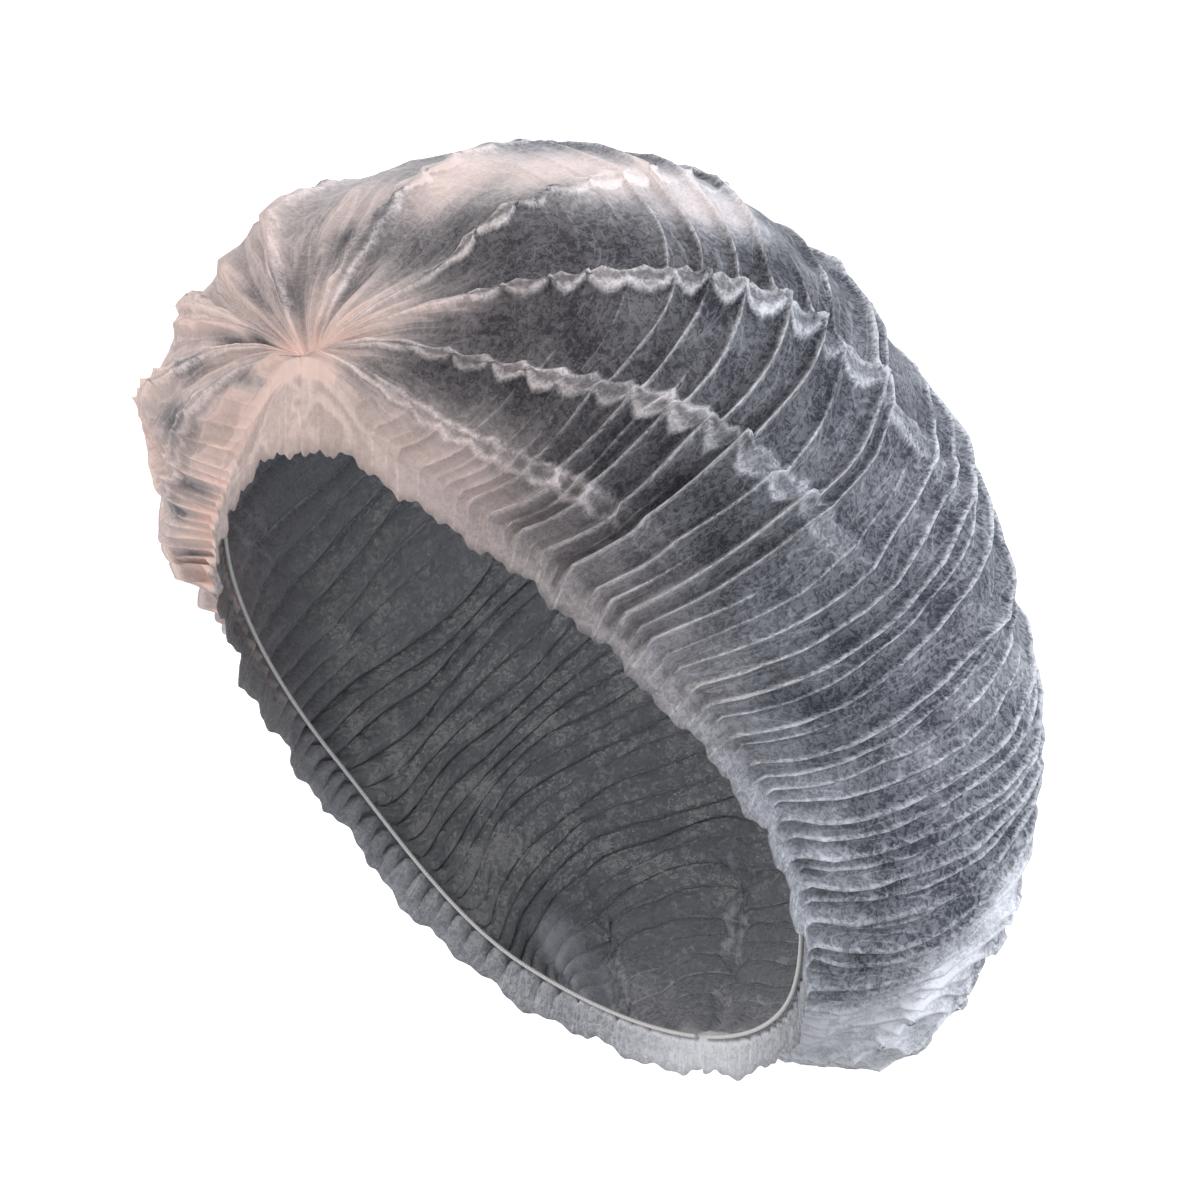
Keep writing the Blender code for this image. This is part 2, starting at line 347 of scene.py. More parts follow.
# Each row: its place across, how far it is shut from the front and from the rear, its height.
PLEATS = (
    (0.925, 0.36, 0.20, 0.5),
    (0.765, 0.46, 0.22, 1.0),
    (0.545, 0.50, 0.25, 1.1),
    (0.290, 0.34, 0.25, 0.8),
    (0.030, 0.30, 0.25, 0.8),
    (-0.250, 0.36, 0.25, 0.9),
    (-0.530, 0.48, 0.25, 1.1),
    (-0.760, 0.46, 0.22, 1.0),
    (-0.900, 0.30, 0.20, 0.6),
)


def pleat_run(along, front, rear):
    """How much of a pleat is still shut: 1 near a seal, falling to 0 where the cloth has opened."""
    from_front = np.clip(1 - along / front, 0, 1)
    from_rear = np.clip(1 - (1 - along) / rear, 0, 1)
    start = np.clip(np.minimum(along, 1 - along) / 0.06, 0, 1)
    return np.maximum(from_front, from_rear) ** 0.6 * start


def scallops(phase, place):
    """The two edges of a lap: one is drawn to a point at every strong crest, the other between them."""
    t = from_crest(phase / 2)
    pulled = two_sided(crest_height, phase, place, 2) * (0.45 + 0.55 * alive(phase, place, 2))
    at_crests = pulled * (1 - 2 * t) ** SCALLOP_POINT - 0.40
    between = 0.55 * (2 * t) ** SCALLOP_POINT - 0.20
    return at_crests, between


def pleat_effects(phase, across):
    """Height, sideways sway, jog of the gathers, crease and doubled cloth of all the pleats.

    A pleat is a flat lap with a folded edge on either side. `d` is the distance from its first edge towards
    the cap's edge, so the second edge is at minus one lap. Both edges sway in scallops towards the top, and
    the gathers that cross the lap come out half a gather further on.
    """
    along = place_of(phase)
    height = np.zeros(np.broadcast(phase, across).shape)
    sway, jog, crease, doubled = height.copy(), height.copy(), height.copy(), height.copy()
    off_seal = np.minimum(np.minimum(along, 1 - along) / 0.10, 1)
    for number, (place, front, rear, tall) in enumerate(PLEATS):
        side = 1 if place > 0 else -1
        run = pleat_run(along, front, rear)
        d = (across - place) * side
        flap = smooth_step(-PLEAT_LAP - 0.008, -PLEAT_LAP + 0.002, d) * (1 - smooth_step(-0.002, 0.010, d))
        height += PLEAT_HEIGHT * tall * run * (0.45 * np.exp(-((d / PLEAT_BELL) ** 2)) + 0.55 * flap)
        at_crests, between = scallops(phase, place)
        swing = between + (at_crests - between) * smooth_step(-PLEAT_LAP, 0, d)
        reach = np.exp(-(((d + PLEAT_LAP / 2) / PLEAT_PULL) ** 2)) * np.minimum(run * 2, 1)
        sway -= SCALLOP * side * swing * reach * off_seal
        past_lap = smooth_step(-PLEAT_LAP, 0, d) * (1 - smooth_step(0.02, 0.20, d))
        jog += JOG * (-1) ** number * past_lap * np.minimum(run * 2, 1) * off_seal
        shut = np.minimum(run * 1.8, 1) * (0.8 + 0.2 * np.sin(0.83 * phase + 5 * place))
        second_edge = np.exp(-(((d + PLEAT_LAP) / FOLD_LINE) ** 2))
        fold_edge = np.exp(-((d / FOLD_LINE) ** 2)) + 0.75 * second_edge
        crease = np.maximum(crease, fold_edge * shut)
        doubled = np.maximum(doubled, flap * shut)
    return height, sway, jog, crease, doubled


# %% [markdown]
# ## Puffs and the knot of folds
#
# The cap isn't even. Loose cloth hangs in puffs over the wearer's right temple and at the nape, and the
# fused front end makes a knot from which small folds spread like a fan. Puffs are soft bumps from a short
# table, and the fan is a wave that depends on `across` alone and fades away from the seal. Two more tables
# say where the cloth lies in several layers, and where a gap between folds shows a single one; the gaps and
# the fan's valleys are also made darker as painted shade between the folds.

# %% Puffs and fan folds
PUFF_HEIGHT = 0.012
# Each row: middle along and across, spread along and across, how far it stands out and hangs down.
PUFFS = (
    (0.31, -0.86, 0.09, 0.13, 0.5, 1.3),
    (0.42, -0.92, 0.06, 0.10, 0.2, 0.7),
    (0.14, -0.80, 0.07, 0.14, 0.6, 0.4),
    (0.09, -0.90, 0.05, 0.06, 0.5, 0.2),
    (0.22, -0.92, 0.02, 0.06, 0.4, 0.0),
    (0.28, -0.90, 0.02, 0.05, 0.4, 0.1),
    (0.22, -0.50, 0.05, 0.10, -0.5, 0.0),
    (0.10, -0.30, 0.04, 0.14, 0.4, 0.0),
    (0.07, 0.25, 0.03, 0.18, -0.4, 0.0),
    (0.93, 0.60, 0.04, 0.20, 0.3, 0.3),
    (0.93, -0.60, 0.04, 0.20, 0.3, 0.3),
)


def ring_round(along, across, middle_along, middle_across, spread_along, spread_across):
    """Squared distance from a middle, counted in spreads, so that a bell is e to its negative."""
    return ((along - middle_along) / spread_along) ** 2 + ((across - middle_across) / spread_across) ** 2


def puff_parts(along, across):
    """How far puffs stand out and hang down: bell curves round each row's middle."""
    stand = np.zeros(np.broadcast(along, across).shape)
    sag = stand.copy()
    for *middle_and_spread, height, hang in PUFFS:
        bell = np.exp(-ring_round(along, across, *middle_and_spread)) * (1 - across**12)
        stand += PUFF_HEIGHT * height * bell
        sag += PUFF_HEIGHT * hang * bell
    return stand, sag


FAN_HEIGHT = 0.0050
FINE_FAN = 23.0
COARSE_FAN = 13.0


def fan_wave(across):
    """Sharp little folds: one less the size of two mixed sines of `across`, 0 to 1."""
    first = 1 - np.abs(np.sin(FINE_FAN * across + 0.9 * np.sin(7 * across)))
    second = 1 - np.abs(np.sin(COARSE_FAN * across + 0.6))
    return 0.65 * first**2 + 0.35 * second**2


SEAL_RADIUS = 0.02
FAN_REACH = 0.08
FAN_REACH_RIGHT = 0.17
FAN_REACH_REAR = 0.13


def fan_ring(along, across):
    """Where the fan shows: a ring round each seal, wider on the wearer's right, where more is bunched."""
    reach = FAN_REACH + FAN_REACH_RIGHT * smooth_step(0.1, -0.35, across)
    front = np.minimum(along / SEAL_RADIUS, 1) * np.exp(-((along / reach) ** 2))
    rear = np.minimum((1 - along) / SEAL_RADIUS, 1) * np.exp(-(((1 - along) / FAN_REACH_REAR) ** 2))
    return front + rear


# %% Bunches, shaded gaps and crumples
# Each row: middle along and across, spread along and across, amount.
BUNCHES = (
    (0.00, 0.00, 0.055, 9.00, 1.25),
    (0.05, -0.66, 0.300, 0.62, 1.10),
    (0.10, -0.08, 0.050, 0.11, 0.85),
    (0.14, 0.07, 0.055, 0.10, 0.85),
    (0.18, 0.18, 0.055, 0.10, 0.80),
    (0.21, 0.26, 0.055, 0.09, 0.75),
    (0.25, 0.34, 0.050, 0.07, 0.65),
    (0.03, 0.55, 0.055, 0.05, 0.90),
    (0.10, 0.97, 0.140, 0.12, 0.45),
    (0.30, -0.97, 0.200, 0.26, 0.85),
    (1.00, 0.00, 0.080, 9.00, 0.85),
    (0.93, 0.82, 0.100, 0.34, 1.00),
    (0.93, -0.82, 0.100, 0.34, 1.00),
    (0.85, 0.70, 0.050, 0.12, 0.95),
    (0.85, -0.70, 0.050, 0.12, 0.95),
    (0.79, 0.60, 0.040, 0.09, 0.60),
)
# Gaps between folds show a single layer, made darker still as painted shade between the folds.
SHADED_GAPS = (
    (0.050, -0.65, 0.014, 0.050, 1.0),
    (0.028, -0.60, 0.010, 0.050, 1.0),
    (0.080, -0.75, 0.016, 0.045, 0.8),
    (0.040, -0.23, 0.014, 0.035, 0.9),
    (0.055, -0.36, 0.014, 0.030, 0.7),
    (0.075, -0.06, 0.014, 0.030, 1.0),
    (0.095, 0.01, 0.014, 0.030, 1.0),
    (0.040, 0.07, 0.012, 0.030, 0.9),
    (0.120, -0.85, 0.024, 0.040, 0.8),
    (0.060, -0.95, 0.012, 0.030, 0.9),
    (0.205, -0.95, 0.016, 0.035, 1.0),
    (0.245, -0.92, 0.014, 0.030, 0.9),
    (0.300, -0.95, 0.012, 0.030, 0.9),
)


def bells(table, along, across, sharpness):
    """Rows of a table as bell curves, the tallest at each place: amount * e^-(ring^sharpness)."""
    tallest = np.zeros(np.broadcast(along, across).shape)
    for *middle_and_spread, amount in table:
        ring = ring_round(along, across, *middle_and_spread)
        tallest = np.maximum(tallest, amount * np.exp(-(ring**sharpness)))
    return tallest


def bunched_cloth(along, across):
    """How densely the cloth lies, from 0 for one layer to about 1: the bunches, less the gaps, which also
    carry painted shade between folds.
    """
    return bells(BUNCHES, along, across, 1.5) * (1 - bells(SHADED_GAPS, along, across, 1.0))


CRUMPLE_HEIGHT = 0.00050
CRUMPLE_WAVES = 28
crumple_turns = rng.normal(0, 1, (CRUMPLE_WAVES, 3)) * rng.uniform(120, 420, (CRUMPLE_WAVES, 1))
crumple_start = rng.uniform(0, 2 * math.pi, CRUMPLE_WAVES)


def crumple(points):
    """A faint unevenness, about -1 to 1: many sines that run in random directions through space."""
    flat = points.reshape(-1, 3)
    total = np.sin(flat @ crumple_turns.T + crumple_start).sum(axis=1) / math.sqrt(CRUMPLE_WAVES)
    return total.reshape(points.shape[:-1])


# %% [markdown]
# ## The frill
#
# The cloth outside each elastic hangs as a narrow frill. The gathers of the edge run out in it, and its
# own ripples and its uneven hem come from sines. Every point of the sheet also gets marks for the finish:
# where the cloth is creased, how many layers lie there, and a cloudiness that is nowhere quite the same.

# %% The folded crown
CREASE_WIDTH = 0.085
CREASE_THINNED = 0.023
CREASE_STRENGTH = 1.9
CREASE_BRIGHTER = 1.3
CREASE_UNEVEN = 0.7
CREASE_PALER = 0.25
FAN_CREASE = 0.8
FAN_VALLEY_SHADE = 0.6
DOUBLED_LAYERS = 0.22
EDGE_LAYERS = 0.25
EDGE_BAND = 0.06


def crest_line(phase, across, along, uneven):
    """The light line on a gather's crest: a bell of the distance from it, times the gather's share. In the
    rear part of the crown it is thinner, brighter on top and paler low down."""
    rear = smooth_step(0.34, 0.50, along)
    low = smooth_step(0.45, 0.85, np.abs(across))
    width = CREASE_WIDTH - CREASE_THINNED * rear
    near_crest = np.exp(-((from_crest(phase) / width) ** 2)) * (1 - CREASE_PALER * rear * low)
    strength = CREASE_STRENGTH + CREASE_BRIGHTER * rear * (1 - low) + CREASE_UNEVEN * uneven
    return near_crest * np.clip(gather_share(phase, across) * strength, 0, 1)


def crown_surface(phase, across):
    """The plain crown, strayed along and across by the folds, pushed out along lines from its heart."""
    pleat_height, sway, jog, pleat_crease, doubled = pleat_effects(phase, across)
    along = place_of(np.clip(phase + gather_wander(phase, across) + jog, 0, GATHERS))
    strayed = np.clip(across + sway * (1 - across**8), -1, 1)
    plain = plain_crown(along, strayed)
    stand, sag = puff_parts(along, strayed)
    edge_free = np.clip((1 - np.abs(across)) / EDGE_BAND, 0, 1)
    ring = fan_ring(along, strayed) * edge_free
    fan = fan_wave(strayed)
    uneven = crumple(plain)
    height = gather_fold(phase, across) + (pleat_height + FAN_HEIGHT * fan * ring) * edge_free + stand
    height = height + CRUMPLE_HEIGHT * uneven * end_fade(along)
    points = plain + unit(plain - HEART) * height[..., None] - UP * sag[..., None]
    gather_crease = crest_line(phase, across, along, uneven)
    fan_crease = smooth_step(0.55, 0.95, fan) * np.minimum(ring * 1.4, 1) * FAN_CREASE
    crease = np.maximum(np.maximum(gather_crease, pleat_crease * edge_free), fan_crease)
    # Painted shade: the layers drop in the valleys between the fan's folds.
    folded = bunched_cloth(along, strayed) * (1 - FAN_VALLEY_SHADE * np.minimum(ring, 1) * (1 - fan))
    at_edge = EDGE_LAYERS * smooth_step(0.88, 1.0, np.abs(across))
    layers = np.maximum(doubled * DOUBLED_LAYERS, folded) + at_edge
    return points, crease, layers, uneven


# %% The frill
FRILL_RIPPLE = 0.0017
# Each row: size, turn per gather, start for one side.
HEM_WAVES = ((0.08, 1.9, 1), (0.07, 0.83, 0), (0.04, 5.1, 0))
FLUTTER_WAVES = ((0.45, 1.7, 1), (0.35, 0.9, 2))


def side_waves(table, phase, side):
    """The sum of a table's sines of the phase, started apart on the two sides."""
    return sum(size * np.sin(phase * turn + start * side) for size, turn, start in table)


def frill_surface(phase, side, down):
    """The frill, down 0 at the elastic and 1 at the hem: it falls straight at the seals and square to the
    opening beside the ears, and ripples outwards."""
    along = place_of(phase)
    edge = edge_point(along, side)
    facing = level_outward(edge)
    beside = np.sin(np.radians(section(along)["edge_turn"]))[..., None] ** 2
    fall = -(OUT * beside + UP * (1 - beside))
    fall = unit(fall - facing * np.sum(fall * facing, axis=-1, keepdims=True))
    uneven = 1 + side_waves(HEM_WAVES, phase, side)
    width = FRILL_WIDTH * uneven + FRONT_DROP * np.exp(-((along / FRONT_DROP_SPREAD) ** 2))
    root = gather_fold(phase, np.full_like(phase, float(side)))
    flutter = 0.5 + side_waves(FLUTTER_WAVES, phase, side)
    ripple = FRILL_RIPPLE * flutter * end_fade(along)
    keep = (1 - down) ** 2
    stand = unit(edge - HEART) * (root * keep)[..., None] + facing * (ripple * down)[..., None]
    return edge + stand + fall * (width * down)[..., None]


# %% [markdown]
# ## The sheet as one mesh
#
# A grid of points becomes a mesh with `from_pydata`. The columns crowd round every crest and the rows
# round every pleat. At a seal all the crown's rows meet in one point, and the left and right frills share
# their last column, so the sheet is one closed strip with no loose seam. A Solidify modifier then gives
# the cloth a real thickness.

# %% Rows and columns of the grid
CREST_STEPS = np.array([0.0, 0.07, 0.22, 0.5, 0.78, 0.93])
PLEAT_STEPS = np.array([-1.6, -1.0, -0.5, 0.0, 0.45, 1.1]) * PLEAT_LAP
EVEN_ROWS = 71
LEAST_ROW_GAP = 0.010
phases = np.append((np.arange(GATHERS)[:, None] + CREST_STEPS).ravel(), GATHERS)
pleat_places = np.array([row[0] for row in PLEATS])[:, None]
pleat_rows = (pleat_places + PLEAT_STEPS * np.sign(pleat_places)).ravel()
even_rows = np.linspace(-1, 1, EVEN_ROWS)
spaced = np.min(np.abs(even_rows[:, None] - pleat_rows[None, :]), axis=1) > LEAST_ROW_GAP
crown_rows = np.sort(np.concatenate([even_rows[spaced | (np.abs(even_rows) == 1)], pleat_rows]))[::-1]
FRILL_DOWNS = np.array([1.0, 0.75, 0.5, 0.25])
print("grid:", len(phases), "columns by", len(crown_rows) + 2 * len(FRILL_DOWNS), "rows")


# %% Sheet mesh
FLAT_WIDTH = 0.44
FLAT_LENGTH = 0.53
HEM_CREASE = 0.3
HEM_CREASE_WIDTH = 0.12
HEM_LAYERS = 0.25
HEM_BUNCHED = 0.5
HEM_FRONT_SPREAD = 0.22
HEM_REAR_SPREAD = 0.1


def hem_marks():
    """The frill's crease, layers and cloud: a line where each crest runs out, more layers near the seals."""
    along = place_of(phases)
    lines = np.exp(-((from_crest(phases) / HEM_CREASE_WIDTH) ** 2))
    crease = lines * HEM_CREASE * two_sided(crest_height, phases, 1.0)
    near_front = np.exp(-((along / HEM_FRONT_SPREAD) ** 2))
    near_rear = np.exp(-(((1 - along) / HEM_REAR_SPREAD) ** 2))
    return crease, HEM_LAYERS + HEM_BUNCHED * (near_front + near_rear), 0 * phases


def sheet_grid():
    """Points and cloth marks of every row, from the left hem to the right, and each row's flat place."""
    crown, *crown_marks = crown_surface(phases[None, :], crown_rows[:, None])
    left = np.array([frill_surface(phases, 1, down) for down in FRILL_DOWNS])
    right = np.array([frill_surface(phases, -1, down) for down in FRILL_DOWNS[::-1]])
    rows = np.concatenate([left, crown, right])
    marks = []
    for hem, mark in zip(hem_marks(), crown_marks):
        band = np.repeat(hem[None, :], len(FRILL_DOWNS), axis=0)
        marks.append(np.concatenate([band, mark, band]))
    hem_share = FRILL_WIDTH / FLAT_WIDTH
    hem_flat = hem_share * (1 - FRILL_DOWNS)
    flat = np.concatenate([hem_flat, 0.5 - crown_rows * (0.5 - hem_share), 1 - hem_flat[::-1]])
    return rows, dict(zip(("crease", "layers", "cloud"), marks)), flat


def grid_faces(count, length, frill):
    """Corners of every quad, with the crown's rows joined at both seals and the frills' ends shared."""
    index = np.arange(count * length).reshape(count, length)
    for end in (0, length - 1):
        index[frill:count - frill, end] = index[frill, end]
        index[count - frill:, end] = index[:frill, end][::-1]
    corners = (index[:-1, :-1], index[:-1, 1:], index[1:, 1:], index[1:, :-1])
    quads = np.stack(corners, axis=-1).reshape(-1, 4)
    collapsed_start = quads[:, 0] == quads[:, 3]
    collapsed_end = quads[:, 1] == quads[:, 2]
    faces = quads[~(collapsed_start | collapsed_end)].tolist()
    faces += quads[collapsed_start][:, :3].tolist()
    faces += quads[collapsed_end][:, [0, 1, 3]].tolist()
    return faces, index


def link(obj):
    """Puts a new object into the scene."""
    bpy.context.scene.collection.objects.link(obj)
    return obj


def make_sheet():
    """The sheet as one surface, with its creases, layers, clouds and flat places kept for the finish."""
    rows, marks, flat = sheet_grid()
    count, length = rows.shape[:2]
    faces, index = grid_faces(count, length, len(FRILL_DOWNS))
    used = np.unique(index)
    renumber = np.zeros(count * length, int)
    renumber[used] = np.arange(len(used))
    mesh = bpy.data.meshes.new("bouffant_sheet")
    faces = [[int(renumber[corner]) for corner in face] for face in faces]
    mesh.from_pydata(rows.reshape(-1, 3)[used].tolist(), [], faces)
    for name, values in marks.items():
        layer = mesh.attributes.new(name, "FLOAT", "POINT")
        layer.data.foreach_set("value", values.ravel()[used].astype(np.float32))
    lengthwise = place_of(phases)[None, :] * FLAT_LENGTH
    flat_places = np.stack(np.broadcast_arrays(lengthwise, flat[:, None] * FLAT_WIDTH), -1)
    corners = np.zeros(len(mesh.loops), np.int32)
    mesh.loops.foreach_get("vertex_index", corners)
    uv = mesh.uv_layers.new(name="cloth")
    uv.data.foreach_set("uv", flat_places.reshape(-1, 2)[used][corners].ravel().astype(np.float32))
    mesh.shade_smooth()
    sheet = link(bpy.data.objects.new("bouffant_sheet", mesh))
    wall = sheet.modifiers.new("cloth thickness", "SOLIDIFY")
    wall.thickness = WALL
    wall.offset = -1.0
    print("sheet:", len(mesh.vertices), "points,", len(mesh.polygons), "faces")
    return sheet


sheet = make_sheet()

# %% [markdown]
# ## The elastics
#
# Each elastic is a thin wound thread just inside the gathered edge. A bevelled curve would do, but a tube
# of our own also keeps the length along the thread for its finish. The tube is a circle carried along the
# path, turned by two directions square to it.

# %% Elastic threads
ELASTIC_DIAMETER = 0.0011
ELASTIC_INSET = 0.0012
ELASTIC_START = 0.010
ELASTIC_END = 0.994
ELASTIC_RINGS = 400
RING_SIDES = 8


def tube(path, radius, sides):
    """Rings of points: path + radius (cos a * first + sin a * second), both square to the path."""
    ahead = unit(np.gradient(path, axis=0))
    first = unit(np.cross(ahead, UP + 0.3 * ACROSS))
    second = np.cross(ahead, first)
    a = np.linspace(0, 2 * math.pi, sides, endpoint=False)[None, :, None]
    return path[:, None] + radius * (np.cos(a) * first[:, None] + np.sin(a) * second[:, None])


def make_elastic(name, side):
    """One elastic from seal to seal, closed at both ends by a cap of one face."""
    along = np.linspace(ELASTIC_START, ELASTIC_END, ELASTIC_RINGS)
    edge = edge_point(along, side)
    path = edge - level_outward(edge) * ELASTIC_INSET
    rings = tube(path, ELASTIC_DIAMETER / 2, RING_SIDES)
    index = np.arange(ELASTIC_RINGS * RING_SIDES).reshape(ELASTIC_RINGS, RING_SIDES)
    beside = np.roll(index, -1, axis=1)
    quads = np.stack([index[:-1], beside[:-1], beside[1:], index[1:]], axis=-1).reshape(-1, 4)
    faces = quads.tolist() + [index[0][::-1].tolist(), index[-1].tolist()]
    mesh = bpy.data.meshes.new(name)
    mesh.from_pydata(rings.reshape(-1, 3).tolist(), [], faces)
    thread = mesh.attributes.new("thread", "FLOAT", "POINT")
    lengths = np.concatenate([[0], np.cumsum(np.linalg.norm(np.diff(path, axis=0), axis=1))])
    thread.data.foreach_set("value", np.repeat(lengths, RING_SIDES).astype(np.float32))
    mesh.shade_smooth()
    print(name, "length", round(float(lengths[-1]), 3), "m")
    return link(bpy.data.objects.new(name, mesh))


elastics = [make_elastic("elastic_thread_left", 1), make_elastic("elastic_thread_right", -1)]

# %% [markdown]
# ## Writing shader maths as Python
#
# A material is a graph of nodes. Wiring each Math node by hand hides the formula, so a small class wraps
# a socket and turns `a * 2 + b` into Math nodes. One method makes any other node from its type, its
# settings and the values or links of its sockets.


# %% Shader helpers
class Wire:
    """An output socket on which + - and * add Math nodes."""

    def __init__(self, finish, socket):
        self.finish, self.socket = finish, socket

    def math(self, operation, *values, clamp=False):
        inputs = dict(enumerate(values))
        return self.finish.node("ShaderNodeMath", {"operation": operation, "use_clamp": clamp}, inputs)

    def __add__(self, other):
        return self.math("ADD", self, other)

    __radd__ = __add__

    def __sub__(self, other):
        return self.math("SUBTRACT", self, other)

    def __rsub__(self, other):
        return self.math("SUBTRACT", other, self)

    def __mul__(self, other):
        return self.math("MULTIPLY", self, other)

    __rmul__ = __mul__

    def size(self):
        return self.math("ABSOLUTE", self)

    def sine(self):
        return self.math("SINE", self)

    def clamped(self):
        return self.math("ADD", self, 0.0, clamp=True)


class Finish:
    """A material with one Principled shader."""

    def __init__(self, name):
        self.material = bpy.data.materials.new(name)
        self.material.use_nodes = True
        self.tree = self.material.node_tree
        self.shader = self.tree.nodes["Principled BSDF"]

    def plug(self, socket, value):
        """Links a wire to a socket, or sets the socket's own value."""
        if isinstance(value, Wire):
            self.tree.links.new(value.socket, socket)
        else:
            socket.default_value = value

    def node(self, kind, settings=None, inputs=None, output=0):
        """A node of any type: settings first, then sockets by name or number."""
        node = self.tree.nodes.new(kind)
        for name, value in (settings or {}).items():
            setattr(node, name, value)
        for name, value in (inputs or {}).items():
            self.plug(node.inputs[name], value)
        return Wire(self, node.outputs[output])

    def mix(self, factor, first, second):
        """A colour between two others."""
        return self.node("ShaderNodeMix", {"data_type": "RGBA"}, {0: factor, 6: first, 7: second}, 2)

    def ramp(self, value, low, high):
        """0 to 1 as a value goes from low to high."""
        return self.node("ShaderNodeMapRange", {"clamp": True}, {0: value, 1: low, 2: high})

    def line(self, value, middle, width):
        """1 where a value is at the middle, falling to 0 at the width on either side: a thin line."""
        return 1 - self.ramp((value - middle).size(), 0.0, width)

    def mark(self, name):
        """A number that the mesh keeps at each point."""
        return self.node("ShaderNodeAttribute", {"attribute_name": name}, output=2)

    def part(self, vector, number):
        """One of a vector's three parts, counted from 0."""
        return self.node("ShaderNodeSeparateXYZ", None, {0: vector}, number)

    def noise(self, place, scales, detail, roughness, distortion):
        """Noise of a place, with a scale of its own for each direction, or one for all."""
        scale = scales
        if isinstance(scales, tuple):
            place = self.node("ShaderNodeVectorMath", {"operation": "MULTIPLY"}, {0: place, 1: scales})
            scale = 1.0
        inputs = {
            "Vector": place,
            "Scale": scale,
            "Detail": detail,
            "Roughness": roughness,
            "Distortion": distortion,
        }
        return self.node("ShaderNodeTexNoise", {"noise_dimensions": "3D"}, inputs)

    def surface(self, **values):
        """Sets or links the shader's sockets."""
        for name, value in values.items():
            self.plug(self.shader.inputs[name.replace("_", " ")], value)
        return self


# %% [markdown]
# ## Spunbond nonwoven
#
# Spunbond is a felt of endless plastic fibres, welded together in a grid of tiny points. One layer is so
# thin that the dim inside of the cap shows through it. The base colour paints that as shade: a grey,
# purplish in front and bluish behind. Every crease and every doubled fold is white, painted warmer in front
# and in dense cloth as painted warm light. So the whiteness, and with it the opacity, is one sum, `cover`: a
# cloudy felt of fibres, painted darker in front and lighter towards the rear, plus the creases and layers
# that we stored on the mesh. Noise in object space gives the felt. The flat cloth's own UV map places its
# veins and weld points, which were made before the cloth was folded, and the fine wrinkles that run
# lengthwise at the front seal, with painted shade in their valleys. The folds themselves are real, so the
# bump only presses in the weld points.

# %% Nonwoven material
# The two greys are painted shade: the dim inside of the cap seen through one sheer layer, purplish in front
# and bluish behind.
FRONT_PAINTED_SHADE = (0.034, 0.029, 0.037, 1.0)
REAR_PAINTED_SHADE = (0.086, 0.098, 0.130, 1.0)
CLEAR_WHITE = (0.88, 0.89, 0.94, 1.0)
# The warm white is painted warm light on the front and on dense cloth; the clear white is the cloth's own
# colour.
WARM_PAINTED_LIGHT = (0.90, 0.68, 0.61, 1.0)
WELD_PITCH = 0.0021
WELD_DEPTH = 0.00012
# How much white each kind of mark adds to the cover.
FELT_COVER = 0.31
FIBRE_COVER = 0.12
VEIN_COVER = 0.16
CLOUD_COVER = 0.07
WELD_COVER = 0.04
RIDGE_COVER = 0.54
LAYER_COVER = 0.95
# Noise scales, per metre.
FELT_SCALE = 620.0
VEIN_SCALES = (210.0, 45.0, 1.0)
WRINKLE_SCALES = (20.0, 105.0, 1.0)
# Where one look gives way to another, in metres.
FRONT_TO_REAR = (-0.06, 0.10)
KNOT_FADE = (0.035, 0.085)
KNOT_FADE_RIGHT = 0.05
RIGHT_SIDE = (0.20, 0.30)


def weld_points(finish, flat):
    """1 at each weld point: the tops of a sine along the cloth times a sine across it."""
    turn = 2 * math.pi / WELD_PITCH
    lengthwise, widthwise = finish.part(flat, 0) * turn, finish.part(flat, 1) * turn
    return finish.ramp(lengthwise.sine() * widthwise.sine(), 0.72, 0.95)


def knot_wrinkles(finish, flat, layers):
    """What wrinkles at the front seal add to the cover: light lines, less painted shade in the valleys of
    dense cloth.
    """
    wrinkle = finish.noise(flat, WRINKLE_SCALES, 2.0, 0.6, 0.8)
    lines = (0.06 + 0.2 * layers) * finish.line(wrinkle, 0.5, 0.07)
    # Painted shade: the cover drops in the wrinkles' valleys, where the dense cloth lies in shade.
    valleys = 0.18 * layers * finish.ramp(wrinkle, 0.66, 0.38)
    reach = KNOT_FADE_RIGHT * finish.ramp(finish.part(flat, 1), *RIGHT_SIDE)
    return (1 - finish.ramp(finish.part(flat, 0) - reach, *KNOT_FADE)) * (lines - valleys)


